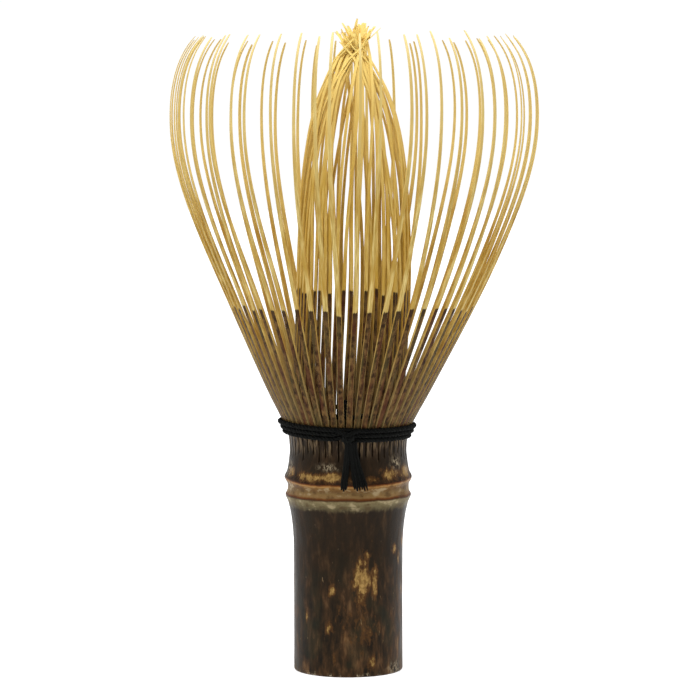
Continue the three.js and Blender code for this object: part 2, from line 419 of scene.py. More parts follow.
def culm_skin():
    """Smoked bamboo: near-black brown with lengthwise streaks, tan patches where the stain did
    not take, and the pale and rusty bands of the node, with a painted highlight under its upper
    rusty line and painted highlights on the roots of the tines under the thread."""
    m = Material("culm_skin")
    place = m.place()
    height = m.coordinate(place, "Z")
    blotches = m.noise(m.stretch(place, 0.34, 0.34, 0.15), detail=5.0, distortion=0.8)
    streaks = m.noise(m.stretch(place, 1.0, 1.0, 0.26), detail=5.0, roughness=0.58)
    fibres = m.noise(m.stretch(place, 6.0, 6.0, 0.4), detail=3.0, roughness=0.6)
    ragged = m.noise(m.stretch(place, 0.9, 0.9, 0.5), detail=7.0, roughness=0.7)
    weather = m.noise(m.stretch(place, 1.8, 1.8, 1.2), detail=6.0, roughness=0.72)
    ground = stained_ground(m, place, height, blotches, streaks, fibres)
    colour = node_colour(m, place, height, blotches, streaks, weather, ground)

    # Where the culm is split under the thread it turns darker, and pale streaks between dark ones
    # are painted highlights on the roots of the tines.
    slats = m.noise(m.stretch(place, 2.2, 2.2, 0.3), detail=3.0, roughness=0.6)
    above_waist = m.ramp(height, 39.2, 42.2)
    colour = m.mix(m.math("MULTIPLY", above_waist, 0.6), colour, NEAR_BLACK)
    root_highlights = m.math("MULTIPLY", above_waist, m.ramp(slats, 0.46, 0.66, 0.0, 0.65))
    colour = m.mix(root_highlights, colour, srgb(114, 95, 70))

    # The bare patches, with a rusty rim.
    heat = m.math("MULTIPLY_ADD", ragged, 2.2, m.value("bare"))
    heat = m.math("MULTIPLY_ADD", fibres, 0.35, heat)
    colour = m.mix(m.ramp(heat, 1.55, 1.95, 0.0, 0.75), colour, srgb(82, 54, 26))
    tan = m.mix(m.ramp(weather, 0.35, 0.62), srgb(158, 127, 73), srgb(108, 80, 42))
    colour = m.mix(m.ramp(heat, 1.92, 2.16, 0.0, 0.92), colour, tan)

    # Specks, scuffs with one painted highlight among them, and the darker edge of the foot.
    specks = m.noise(m.stretch(place, 2.0, 2.0, 0.6), detail=2.0)
    colour = m.mix(m.ramp(specks, 0.70, 0.80, 0.0, 0.5), colour, srgb(142, 118, 84))
    wear_and_highlight = m.math("MULTIPLY", m.value("wear_and_highlight"), m.ramp(weather, 0.46, 0.6, 0.0, 0.9))
    colour = m.mix(wear_and_highlight, colour, srgb(196, 178, 146))
    colour = m.mix(m.ramp(height, 0.06, 0.2, 0.8, 0.0), colour, srgb(60, 30, 16))

    relief = m.math("MULTIPLY_ADD", fibres, 0.5, streaks)
    return m.surface(
        Base_Color=colour,
        Roughness=m.ramp(streaks, 0.3, 0.7, 0.34, 0.5),
        Normal=m.bump(relief, 0.1, 0.5),
        Specular_IOR_Level=0.06,
    )


def culm_flesh():
    """The bamboo inside the culm: pale, with the dots and lines of its fibres."""
    m = Material("culm_flesh")
    place = m.place()
    dots = m.noise(m.stretch(place, 4.5, 4.5, 0.5), detail=3.0)
    cloud = m.noise(m.stretch(place, 0.5, 0.5, 0.3), detail=3.0)
    colour = m.mix(m.ramp(dots, 0.42, 0.62), srgb(196, 160, 104), srgb(122, 84, 46))
    colour = m.mix(m.ramp(cloud, 0.4, 0.7, 0.0, 0.5), colour, srgb(150, 116, 70))
    return m.surface(Base_Color=colour, Roughness=0.7, Normal=m.bump(dots, 0.15, 0.6))


BACKLIT_GOLD = srgb(228, 184, 72)  # a painted glow: the warm yellow of light shining through the thin inner tines


def tine_noise(m, across_scale, along_scale, detail, roughness=0.55):
    """Noise over a tine's width and length, different on each tine."""
    across = m.math("MULTIPLY", m.value("across"), across_scale)
    along = m.math("MULTIPLY", m.value("along"), along_scale)
    place = m.combine(across, along, m.value("number"))
    return m.noise(place, detail=detail, roughness=roughness)


def tine_grain(m):
    """The lengthwise fibres and the slow clouds of a tine."""
    fine = tine_noise(m, 7.0, 0.3, detail=4.0, roughness=0.6)
    slow = tine_noise(m, 0.8, 0.12, detail=3.0)
    return fine, slow


def tine_face():
    """The outer face of a tine: dark skin below, scraped to straw above a crisp edge, and paler
    higher up. Towards the tip it is painted near-white, a painted highlight of the top light; the
    gathered tips get painted light too, and the inner crown a painted glow of light through it."""
    m = Material("tine_face")
    fine, slow = tine_grain(m)
    above = m.value("above")
    edge = m.math("MULTIPLY_ADD", fine, 0.8, above)
    straw = m.mix(m.ramp(fine, 0.3, 0.7), srgb(143, 117, 52), srgb(198, 178, 117))
    straw = m.mix(m.ramp(slow, 0.38, 0.64, 0.0, 0.8), straw, srgb(152, 119, 46))
    straw = m.mix(m.ramp(above, 16.0, 36.0, 0.0, 0.6), straw, srgb(206, 182, 116))
    # Painted light: towards the tip the face turns near-white, as where the top light blows it
    # out.
    straw = m.mix(m.ramp(above, 40.0, 49.0, 0.0, 0.6), straw, srgb(240, 222, 160))
    # Painted light: the gathered tips of the inner crown are paler, as if lit from above.
    straw = m.mix(m.math("MULTIPLY", m.value("tuft_light"), 0.6), straw, srgb(246, 220, 136))
    # A painted glow: light shining through the thin inner tines, painted as a warm yellow.
    straw = m.mix(m.value("backlit_gold"), straw, BACKLIT_GOLD)
    mottle = tine_noise(m, 1.4, 0.8, detail=5.0, roughness=0.65)
    skin = m.mix(m.ramp(mottle, 0.36, 0.64), srgb(33, 19, 8), srgb(97, 72, 40))
    skin = m.mix(m.ramp(slow, 0.5, 0.62, 0.0, 0.7), skin, srgb(66, 34, 20))
    skin = m.mix(m.ramp(slow, 0.48, 0.36, 0.0, 0.6), skin, srgb(64, 56, 30))
    skin = m.mix(m.ramp(fine, 0.56, 0.72, 0.0, 0.35), skin, srgb(116, 92, 58))
    skin = m.mix(m.ramp(edge, -1.8, 0.1, 0.0, 0.75), skin, srgb(44, 29, 17))
    colour = m.mix(m.ramp(edge, 0.25, 0.55), skin, straw)
    return m.surface(
        Base_Color=colour,
        Roughness=m.ramp(fine, 0.3, 0.7, 0.42, 0.56),
        Normal=m.bump(fine, 0.03, 0.6),
        Specular_IOR_Level=0.04,
    )


def tine_flesh():
    """The split sides and the inside of a tine: greyer beside the dark skin, paler above, with
    painted light on the gathered tips and a painted glow of light through the inner crown.
    """
    m = Material("tine_flesh")
    fine, slow = tine_grain(m)
    above = m.value("above")
    colour = m.mix(m.ramp(fine, 0.3, 0.7), srgb(146, 114, 42), srgb(202, 173, 98))
    colour = m.mix(m.ramp(slow, 0.4, 0.66, 0.0, 0.7), colour, srgb(152, 110, 32))
    colour = m.mix(m.ramp(above, 12.0, 30.0, 0.0, 0.75), colour, srgb(216, 189, 114))
    # A painted glow: light shining through the thin inner tines, painted as a warm yellow.
    colour = m.mix(m.value("backlit_gold"), colour, BACKLIT_GOLD)
    colour = m.mix(m.ramp(above, -20.0, 1.0, 0.9, 0.0), colour, srgb(124, 105, 70))
    # Painted light: the gathered tips of the inner crown are paler, as if lit from above.
    colour = m.mix(m.value("tuft_light"), colour, srgb(244, 220, 136))
    return m.surface(
        Base_Color=colour,
        Roughness=m.ramp(fine, 0.3, 0.7, 0.45, 0.6),
        Normal=m.bump(fine, 0.04, 0.7),
        Specular_IOR_Level=0.1,
    )


def tine_end():
    """The cut tip of a tine, browned by use."""
    m = Material("tine_end")
    fine, _ = tine_grain(m)
    colour = m.mix(m.ramp(fine, 0.3, 0.7), srgb(150, 108, 56), srgb(186, 146, 86))
    return m.surface(Base_Color=colour, Roughness=0.7, Normal=m.bump(fine, 0.03, 0.5))


def black_thread():
    """Waxed black cotton, with the fibres of its plies and a painted greenish sheen."""
    m = Material("black_thread")
    along, around = m.value("along"), m.value("around")
    slant = m.math("MULTIPLY_ADD", around, 1.2, m.math("MULTIPLY", along, 2.0))
    fibres = m.noise(m.combine(slant, m.math("MULTIPLY", along, 0.3), 0.0), detail=4.0)
    # A painted sheen: faint greenish highlights over the black thread.
    greenish_sheen = m.noise(m.stretch(m.place(), 1.4, 1.4, 1.4), detail=4.0)
    colour = m.mix(m.ramp(fibres, 0.35, 0.7), srgb(3, 3, 3), srgb(13, 14, 11))
    colour = m.mix(m.ramp(greenish_sheen, 0.55, 0.8, 0.0, 0.4), colour, srgb(20, 25, 21))
    return m.surface(
        Base_Color=colour,
        Roughness=0.85,
        Normal=m.bump(fibres, 0.06, 0.8),
        Specular_IOR_Level=0.1,
    )


FLOOR_GLOW = 0.5


def studio_floor():
    """A light table, so that nothing throws a shadow on it."""
    m = Material("studio_floor")
    cloud = m.noise(m.stretch(m.place(), 0.01, 0.01, 0.01), detail=2.0)
    colour = m.mix(m.ramp(cloud, 0.3, 0.7), srgb(246, 246, 246), srgb(250, 250, 250))
    return m.surface(
        Base_Color=colour, Roughness=0.9, Emission_Color=colour, Emission_Strength=FLOOR_GLOW
    )


SKIN = culm_skin()
FLESH = culm_flesh()
TINE_FACE = tine_face()
TINE_FLESH = tine_flesh()
TINE_END = tine_end()
THREAD = black_thread()


# ---- The handle ----

# The outside of the culm as (height, radius): a straight internode, the swelling under the node,
# the leaf scar, the groove, the node's ridge and the waist under the thread.
CULM_OUTSIDE = spline(
    [
        (0.0, 9.98),
        (20.0, 9.98),
        (24.0, 10.03),
        (27.0, 10.25),
        (29.4, 10.62),
        (31.1, 11.06),
        (31.9, 11.38),
        (32.4, 11.5),
        (32.8, 11.26),
        (33.3, 11.1),
        (34.2, 11.12),
        (34.8, 11.44),
        (35.4, 11.68),
        (35.9, 11.52),
        (36.5, 11.2),
        (37.8, 10.98),
        (39.2, 10.8),
        (40.5, 10.7),
        (42.0, 10.78),
        (RIM_Z, 10.95),
    ]
)
SLIT_HALF = 0.11  # half the width of a split between two tines
SLIT_DEPTH = 1.2
SLIT_RUN = 1.2  # the height in which a split gets its full depth
PRIMARY_SLIT_Z = 39.1  # the foot of the splits between strips, and of those inside a strip
SECONDARY_SLIT_Z = 39.9
SLIT_WALL_R = 10.8  # radius of the culm where it is split
FOOT_EDGE = 0.28
FOOT_WEAR = 0.16

# Where the stain did not take: (degrees round from the front, height, half width, half height,
# strength), those on the handle first, then those along the node's ridge.
BARE_PATCHES = [
    (14, 17.8, 1.6, 3.2, 1.15),
    (12, 14.6, 1.1, 2.2, 0.85),
    (19, 22.0, 0.9, 1.4, 0.6),
    (28, 17.4, 0.8, 3.0, 0.9),
    (-18, 15.9, 0.7, 1.1, 0.9),
    (-22, 9.0, 0.8, 1.1, 0.85),
    (24, 2.5, 0.8, 1.6, 0.9),
    (14, 8.0, 3.0, 3.6, 0.5),
    (-6, 10.5, 2.0, 3.6, 0.4),
    (-16, 3.4, 0.3, 0.9, 0.8),
    (-50, 10.6, 0.3, 1.4, 0.9),
    (57, 22.9, 0.6, 1.1, 0.95),
    (66, 21.2, 0.6, 1.4, 0.9),
    (79, 24.2, 1.0, 1.2, 1.0),
    (74, 15.0, 0.7, 1.4, 0.8),
    (118, 12.0, 1.8, 4.5, 0.95),
    (150, 22.0, 1.2, 2.8, 0.8),
    (-112, 9.0, 1.5, 4.2, 0.9),
    (-150, 19.0, 1.1, 3.6, 0.9),
    (178, 6.0, 1.0, 2.4, 0.8),
    (-38, 36.35, 3.0, 0.9, 1.05),
    (-18, 36.35, 2.2, 0.95, 1.05),
    (-2, 35.95, 1.6, 0.5, 0.8),
    (-68, 36.9, 1.6, 1.0, 0.85),
    (22, 36.05, 2.2, 0.6, 0.75),
    (44, 36.7, 2.2, 1.2, 0.85),
    (68, 36.9, 2.4, 1.2, 1.0),
    (95, 36.8, 2.2, 0.9, 0.9),
    (130, 36.7, 2.6, 0.8, 0.95),
    (-130, 36.8, 2.8, 0.8, 0.95),
    (-172, 36.7, 2.2, 0.8, 0.9),
]

# Whitish scuffs above the node and at the foot, as the patches. The one at -74 degrees, on the
# left edge above the node, is a painted highlight.
SCUFFS_AND_HIGHLIGHT = [
    (-20, 38.2, 1.3, 0.5, 0.5),
    # A painted highlight on the left edge above the node, in the whitish colour of the scuffs.
    (-74, 37.3, 0.9, 0.9, 0.8),
    (52, 38.7, 0.9, 0.8, 0.7),
    (70, 37.2, 0.8, 0.9, 0.4),
    (57, 1.0, 1.3, 0.8, 0.6),
    (-58, 0.15, 2.2, 0.2, 0.9),
    (160, 38.5, 1.2, 0.7, 0.6),
    (-140, 38.8, 1.0, 0.8, 0.6),
]


def culm_columns():
    """The angles that the culm's outside is built on: close together at each split. Each comes
    with how far into its split it lies, from 0 to 1, and the number of that split."""
    half = PITCH / 2
    lip = SLIT_HALF / SLIT_WALL_R
    columns = []
    for k in range(TINES):
        middle = FRONT + k * PITCH
        columns.append((middle - half, 1.0, k))
        columns.append((middle - half + lip * 0.8, 0.92, k))
        columns.append((middle - half + lip * 1.3, 0.0, k))
        for share in (-0.62, -0.3, 0.0, 0.3, 0.62):
            columns.append((middle + share * half, 0.0, k))
        columns.append((middle + half - lip * 1.3, 0.0, k + 1))
        columns.append((middle + half - lip * 0.8, 0.92, k + 1))
    return columns


def culm_heights():
    """The heights that the culm's outside is built on, closer at the node and at the splits."""
    rows = [0.0, 0.07, 0.16, FOOT_EDGE, 0.45]
    for low, high, step in ((0.9, 28.5, 0.75), (28.8, 37.2, 0.2), (37.4, RIM_Z, 0.16)):
        rows += list(np.arange(low, high, step))
    return [*rows, RIM_Z]


def patch_heat(patches, angle, z):
    """How strongly a place on the culm is marked by the patches that lie over it."""
    heat = 0.0
    for degrees, height, half_width, half_height, strength in patches:
        turn = angle - (FRONT + math.radians(degrees))
        turn = (turn + math.pi) % TAU - math.pi
        x = turn * HANDLE_R / half_width
        y = (z - height) / half_height
        heat = max(heat, strength * math.exp(-(x * x + y * y) * 0.7))
    return heat


def make_handle():
    """The handle in one skin: down the bore, round the foot, up the outside to the rim, and down
    the cup between the crowns."""
    rng = random.Random(11)
    columns = culm_columns()
    split_bottom = [
        PRIMARY_SLIT_Z + rng.uniform(-0.2, 0.3)
        if k % TINES_PER_STRIP == TINES_PER_STRIP - 1
        else SECONDARY_SLIT_Z + rng.uniform(-0.4, 0.6)
        for k in range(TINES)
    ]
    body = Body("bare", "wear_and_highlight")

    def outside_point(column, z):
        angle, inside_split, split = column
        x, y = math.cos(angle), math.sin(angle)
        ridge = smoothstep(z, 29.5, 32.0) * (1 - smoothstep(z, 36.5, 38.5))
        uneven = 0.16 * wave(x * 1.1, y * 1.1, 3.0) + 0.03 * wave(x * 4, y * 4, 8)
        sag = lerp(-NODE_LIFT, NODE_SAG, smoothstep(-y, 0.2, 1.0))
        shifted = z + ridge * uneven + ridge * smoothstep(z, 33.3, 34.2) * sag
        radius = np.interp(shifted, CULM_OUTSIDE[:, 0], CULM_OUTSIDE[:, 1])
        radius += 0.07 * wave(x * 0.9, y * 0.9, z * 0.03 + 20)
        radius += 0.025 * wave(x * 7, y * 7, z * 0.06)
        radius += ridge * 0.05 * wave(x * 14, y * 14, z * 0.8)
        edge = max(0.0, 1 - z / FOOT_EDGE)
        chip = 0.5 + 0.5 * wave(x * 9, y * 9, 40)
        radius -= edge * edge * FOOT_WEAR * (1 + chip)
        start = split_bottom[split % TINES]
        opened = smoothstep(z, start - 0.1, start + SLIT_RUN)
        radius -= inside_split * SLIT_DEPTH * opened
        chipped = smoothstep(z, 0.1, 0.2) * (1 - smoothstep(z, 0.3, 0.6))
        wear_and_highlight = max(chipped * smoothstep(chip, 0.52, 0.75), patch_heat(SCUFFS_AND_HIGHLIGHT, angle, z))
        return Vector((x * radius, y * radius, z)), (patch_heat(BARE_PATCHES, angle, z), wear_and_highlight)

    def plain_ring(radius, z):
        ring = [Vector((radius * math.cos(a), radius * math.sin(a), z)) for a, _, _ in columns]
        return ring, [(0.0, 0.0)] * len(ring)

    bore = [(BORE_R * k, SEPTUM_BOTTOM_Z + 0.6 * (1 - k**3)) for k in (0.02, 0.35, 0.7, 0.92)]
    bore += [(BORE_R, SEPTUM_BOTTOM_Z - 2), (BORE_R, 20.0), (BORE_R, 9.0), (BORE_R, 0.4)]
    bore += [(BORE_R + 0.12, 0.06)]
    cup = [(10.1, RIM_Z), (CUP_R, RIM_Z - 0.1), (8.5, 39.0), (7.8, 36.0), (6.8, 34.2)]
    cup += [(4.5, SEPTUM_TOP_Z + 0.1), (2.0, SEPTUM_TOP_Z), (0.02, SEPTUM_TOP_Z)]
    rings = [plain_ring(radius, z) for radius, z in bore]
    foot_ring = len(rings)
    rings += [plain_ring(8.4, 0.0)]
    for z in culm_heights():
        pairs = [outside_point(column, z) for column in columns]
        rings.append(([p for p, _ in pairs], [v for _, v in pairs]))
    rim_ring = len(rings)
    rings += [plain_ring(radius, z) for radius, z in cup]
    width = len(columns)
    for ring, values in rings:
        for position, value in zip(ring, values):
            body.point(position, value)
    for i in range(len(rings) - 1):
        kind = 0 if foot_ring + 1 <= i < rim_ring - 1 else 1
        for k in range(width):
            n = (k + 1) % width
            a, b = i * width, (i + 1) * width
            body.face((a + k, a + n, b + n, b + k), kind)
    body.face(tuple(range(width)), 1)
    body.face(tuple(range((len(rings) - 1) * width, len(rings) * width)), 1)
    handle = body.build("handle", [SKIN, FLESH], sharp_degrees=50)
    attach(handle, "handle")
    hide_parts("culm_handle")


# ---- The crowns ----


OUTER_BELLY = (33.35, 101.2)
OUTER_TIP = (28.4, 116.0)
ROOT_PULL = 41.5  # how long the outer tine holds its direction at the root
BELLY_PULL = (10.5, 8.0)  # below and above the belly
TIP_PULL = (2.6, -2.4)

# The inner tine's face as (distance from the axis, height), past the axis at the tip.
INNER_FACE = [
    (9.8, ROOT_Z),
    (10.35, 60),
    (10.25, 78),
    (9.1, 92.8),
    (6.8, 103),
    (3.2, 110.2),
    (0, 113.6),
    (-5.0, 117.7),
]


def outer_face():
    """The outer tine's face: straight out from the thread, round the belly and in at the tip."""
    root = (OUTER_ROOT_R, ROOT_Z)
    root_pull = (
        OUTER_ROOT_R + ROOT_PULL * math.sin(OUTER_ROOT_TILT),
        ROOT_Z + ROOT_PULL * math.cos(OUTER_ROOT_TILT),
    )
    belly_r, belly_z = OUTER_BELLY
    tip_pull = (OUTER_TIP[0] + TIP_PULL[0], OUTER_TIP[1] + TIP_PULL[1])
    lower = bezier(root, root_pull, (belly_r, belly_z - BELLY_PULL[0]), OUTER_BELLY)
    upper = bezier(OUTER_BELLY, (belly_r, belly_z + BELLY_PULL[1]), tip_pull, OUTER_TIP)
    return Profile(np.vstack([lower, upper[1:]]))


# A tine's section: (across, outwards), both from -0.5 to 0.5, from the left edge of its outer
# face round to the back. The first two sides are the face, the others are split bamboo.
SECTION = [
    (-0.44, 0.5),
    (0.0, 0.56),
    (0.44, 0.5),
    (0.5, 0.3),
    (0.44, -0.3),
    (0.3, -0.5),
    (-0.3, -0.5),
    (-0.44, -0.3),
    (-0.5, 0.3),
]
SECTION_KINDS = [0, 0, 1, 1, 1, 1, 1, 1, 1]


# Where inner tines stand apart, so that one sees through the crown: (place across the whisk,
# how far the tines on each side of it are pushed away).
PARTINGS = [(-0.9, 0.28), (1.4, 0.26), (-3.5, 0.04)]
PARTING_REACH = 1.4
INNER_R = 10.3


def parted(angle):
    """How far a tine of the inner crown is pushed round by the partings at its place."""
    x = INNER_R * math.cos(angle)
    push = 0.0
    for place, width in PARTINGS:
        off = (x - place) / PARTING_REACH
        push += math.copysign(width, off) * math.exp(-off * off)
    return -push * math.sin(angle)


class Crown:
    """What the tines of a crown have in common. Widths and thicknesses are (share of the length,
    size); it also holds how much painted light pales the gathered tips, and how much a painted
    glow of light shining through the thin tines yellows all of it."""

    def __init__(self, face, widths, thicknesses, skin_top, bound_in, tuft_light, backlit_gold, rings):
        self.face = face
        self.widths = widths
        self.thicknesses = thicknesses
        self.skin_top = skin_top
        self.bound_in = bound_in
        self.tuft_light = tuft_light
        self.backlit_gold = backlit_gold
        self.rings = rings

    def width(self, s):
        return np.interp(s, *zip(*self.widths))

    def thickness(self, s):
        return np.interp(s, *zip(*self.thicknesses))


OUTER = Crown(
    face=outer_face(),
    widths=[(0, 1.04), (0.3, 0.95), (0.6, 0.76), (0.85, 0.54), (1, 0.4)],
    thicknesses=[(0, 0.85), (0.3, 0.54), (0.55, 0.34), (0.8, 0.21), (1, 0.15)],
    skin_top=SKIN_TOP_OUTER,
    bound_in=BOUND_IN,
    tuft_light=0.0,
    backlit_gold=0.0,
    rings=44,
)
INNER = Crown(
    face=Profile(spline(INNER_FACE)),
    widths=[(0, 0.8), (0.3, 0.72), (0.55, 0.58), (0.78, 0.55), (0.92, 0.62), (1, 0.6)],
    thicknesses=[(0, 0.74), (0.3, 0.5), (0.6, 0.34), (0.85, 0.24), (1, 0.16)],
    skin_top=SKIN_TOP_INNER,
    bound_in=0.0,
    tuft_light=0.8,
    backlit_gold=0.24,
    rings=52,
)


def bounded_gauss(rng):
    """A normal draw, but never far out."""
    return max(-1.8, min(1.8, rng.gauss(0, 1)))


class Habit:
    """How one tine differs from its neighbours."""

    def __init__(self, rng, turn, spread, shortest, swirl=(1, 1)):
        self.turn = bounded_gauss(rng) * turn
        self.spread = bounded_gauss(rng) * spread
        self.share = rng.uniform(shortest, 1.0)
        self.width = rng.uniform(0.9, 1.1)
        self.twist = rng.gauss(0, 0.12)
        self.skin = rng.gauss(0, 0.35)
        self.sway = rng.uniform(0, TAU)
        self.number = rng.uniform(0, 100)
        self.swirl = rng.uniform(*swirl)
        self.reach = rng.uniform(0.3, 1.1)


RING_CROWDING = 1.35  # above 1, the rings of a tine stand closer towards its tip
FREE = (0.06, 0.85)  # the share of its length from and up to which a tine takes on its habit
SWAY = 0.12
SWAY_WAVES = 9
TIP_ROUNDING = 0.012  # the share of its length in which a tine's tip is narrowed
TUFT_LIGHT_Z = (103, 112)  # the heights between which gathered tines get paler from painted light


def add_tine(body, crown, angle, habit, sideways, outwards):
    """One tine, lofted along its crown's face. It stands exactly at its root, and takes on its
    own habit further up."""
    rings, values = [], []
    for i in range(crown.rings + 1):
        t = i / crown.rings
        s = (1 - (1 - t) ** RING_CROWDING) * habit.share
        along = crown.face.at(s)
        tangent = crown.face.tangent(s)
        free = smoothstep(s, *FREE)
        sway = SWAY * free * math.sin(s * SWAY_WAVES + habit.sway)
        near_tip = smoothstep(s, habit.share - TIP_ROUNDING, habit.share)
        width = crown.width(s) * lerp(1, habit.width, free) * (1 - 0.25 * near_tip)
        thickness = crown.thickness(s) * (1 - 0.45 * near_tip)
        twist = habit.twist * free
        bound = crown.bound_in * (1 - smoothstep(s, 0.03, 0.12))
        out = outwards(s) + habit.spread * free - bound
        side = sideways(s, habit.swirl) + sway
        ring, row = [], []
        for a, b in SECTION:
            x, y = a * width, b * thickness
            turned_x = x * math.cos(twist) - y * math.sin(twist)
            turned_y = x * math.sin(twist) + y * math.cos(twist)
            off = turned_y - thickness / 2 + out
            held_back = (1 - habit.reach) * min(along.x, 0)
            u = along.x - held_back + tangent.y * off
            z = along.y - 0.25 * held_back - tangent.x * off
            ring.append(polar(angle + habit.turn * free, u, turned_x + side, z))
            above = z - crown.skin_top - habit.skin
            tuft_light = crown.tuft_light * smoothstep(z, *TUFT_LIGHT_Z)
            length = s * crown.face.length[-1]
            row.append((length, x, above, habit.number, tuft_light, crown.backlit_gold))
        rings.append(ring)
        values.append(row)
    body.loft(rings, SECTION_KINDS, end_kind=2, values=values)


# The wall between a strip's tines at their root: (share of the strip's span, share of the
# thickness inwards) round its section.
WEB_SECTION = [(-0.5, 0.2), (0, 0.2), (0.5, 0.2), (0.5, 0.8), (0, 0.8), (-0.5, 0.8)]
WEB_REACH = (0.004, 0.018)


def add_web(body, crown, middle):
    """The root of a strip, where its three tines are still one piece of wall."""
    span = (TINES_PER_STRIP - 1) * PITCH
    rings, values = [], []
    for s in WEB_REACH:
        along, tangent = crown.face.at(s), crown.face.tangent(s)
        ring = []
        for share, depth in WEB_SECTION:
            off = -depth * crown.thickness(s)
            u = along.x + tangent.y * off
            ring.append(polar(middle + share * span, u, 0, along.y - tangent.x * off))
        rings.append(ring)
        values.append([(0.0, 0.0, -20.0, 0.0, 0.0, crown.backlit_gold)] * len(ring))
    body.loft(rings, [1], end_kind=1, values=values)


def make_crown(kind, crown, first_angle, habit_of, sideways, outwards):
    """The strips of a crown, each a piece of its own, numbered round from the front."""
    for i in range(STRIPS):
        number = f"{i + 1:02d}"
        middle = first_angle + i * TINES_PER_STRIP * PITCH
        body = Body("along", "across", "above", "number", "tuft_light", "backlit_gold")
        add_web(body, crown, middle)
        for k in range(TINES_PER_STRIP):
            angle = middle + (k - 1) * PITCH
            add_tine(
                body,
                crown,
                angle,
                habit_of(),
                lambda s, swirl, k=k, angle=angle: sideways(s, k, angle, swirl),
                lambda s, k=k: outwards(s, k),
            )
        strip = body.build(f"{kind}_strip_{number}", [TINE_FACE, TINE_FLESH, TINE_END], 28)
        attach(strip, f"{kind}_{number}")
        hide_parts(f"{kind}_tines_{number}")


def inner_sideways(s, k, angle, swirl):
    """The inner tines part below, and pass each other where they are gathered."""
    passing = INNER_LAYERS[k] * smoothstep(s, 0.4, 0.88) * swirl
    return passing + parted(angle) * smoothstep(s, 0.02, 0.25) * (1 - smoothstep(s, 0.4, 0.7))


def make_crowns():
    rng = random.Random(5)
    make_crown(
        "outer",
        OUTER,
        FRONT,
        lambda: Habit(rng, turn=math.radians(1.6), spread=0.2, shortest=0.982),
        lambda s, k, angle, swirl: 0.0,
        lambda s, k: 0.0,
    )
    make_crown(
        "inner",
        INNER,
        FRONT + PITCH / 2,
        lambda: Habit(rng, math.radians(4.2), spread=0.42, shortest=0.94, swirl=(-0.8, 1.0)),
        inner_sideways,
        lambda s, k: INNER_NESTING * (k - 1) * smoothstep(s, 0.25, 0.6),
    )


# ---- The thread ----

THREAD_R = 0.42
PLIES = 3
PLY_TURN = 2.3  # length of thread in which its plies go once round
PLY_OFFSET = 0.52  # the place and the radius of a ply, as shares of the thread's radius
PLY_R = 0.55
PLY_SIDES = 7
STRAND_SIDES = 8  # of the untwisted strands at the thread's ends

COURSES = 3
COURSE_RISE = 0.88
FIRST_COURSE_Z = 43.45
COURSE_TILT = 0.42  # how much higher at the left, and lower at the right
COURSE_BOW = 0.27  # how much higher at the sides
COURSE_DROP = 0.12
COURSE_STEPS_PER_TINE = 9

WEAVE_R = 11.0
WEAVE_Z = 47.4
WEAVE_STEPS_PER_TINE = 8
HITCH_TURNS = 4  # turns with which the hidden course is tied off, seen between the front tines
HITCH_STEPS = 24
HITCH_RISE = 0.62


def sections(centres):
    """Each point of a line with two directions across it, carried along without twisting, and
    the length of line before it."""
    side = None
    along = 0.0
    for i, centre in enumerate(centres):
        before = centres[max(i - 1, 0)]
        after = centres[min(i + 1, len(centres) - 1)]
        ahead = (after - before).normalized()
        if side is None:
            side = ahead.orthogonal().normalized()
        side = (side - ahead * side.dot(ahead)).normalized()
        along += (centre - before).length
        yield centre, side, ahead.cross(side), along


def add_strand(body, centres, radius, sides=STRAND_SIDES, taper=None):
    """A round strand along a list of points."""
    rings, values = [], []
    for i, (centre, side, up, along) in enumerate(sections(centres)):
        thick = radius * (taper(i / (len(centres) - 1)) if taper else 1)
        ring, row = [], []
        for k in range(sides):
            turn = TAU * k / sides
            ring.append(centre + (side * math.cos(turn) + up * math.sin(turn)) * thick)
            row.append((along, turn))
        rings.append(ring)
        values.append(row)
    body.loft(rings, [0], values=values)


def add_thread(body, centres, thread_radius, phase=0.0):
    """A thread of twisted plies along a list of points."""
    paths = [[] for _ in range(PLIES)]
    offset = thread_radius * PLY_OFFSET
    for centre, side, up, along in sections(centres):
        for k in range(PLIES):
            turn = phase + TAU * (along / PLY_TURN + k / PLIES)
            paths[k].append(centre + (side * math.cos(turn) + up * math.sin(turn)) * offset)
    for path in paths:
        add_strand(body, path, thread_radius * PLY_R, sides=PLY_SIDES)


def face_radius(z):
    """Radius of the outer tines' face, or of the culm under them."""
    return OUTER_ROOT_R + math.tan(OUTER_ROOT_TILT) * (z - ROOT_Z)


def finish_thread(body, name, node):
    piece = body.build(name, [THREAD], sharp_degrees=80)
    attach(piece, "handle")
    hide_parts(node)


def make_binding():
    """The courses round the outer tines, drawn a little into the gaps between them."""
    body = Body("along", "around")
    steps = COURSES * TINES * COURSE_STEPS_PER_TINE
    centres = []
    for i in range(steps + 1):
        turn = COURSES * i / steps
        angle = FRONT + turn * TAU
        course = min(int(turn), COURSES - 1)
        jog = smoothstep(turn - course, 0.955, 1.0) if course < COURSES - 1 else 0
        z = FIRST_COURSE_Z + (course + jog) * COURSE_RISE + 0.05 * wave(turn * 6, 2.0, 5.0)
        z += COURSE_BOW * math.cos(angle) ** 2 - COURSE_TILT * math.cos(angle) - COURSE_DROP
        dip = 0.05 * math.cos(angle * TINES - FRONT * TINES)
        radius = face_radius(z) + 0.34 + dip
        centres.append(polar(angle, radius, 0, z))
    add_thread(body, centres, THREAD_R * 1.06)
    finish_thread(body, "binding_courses", "binding_thread")


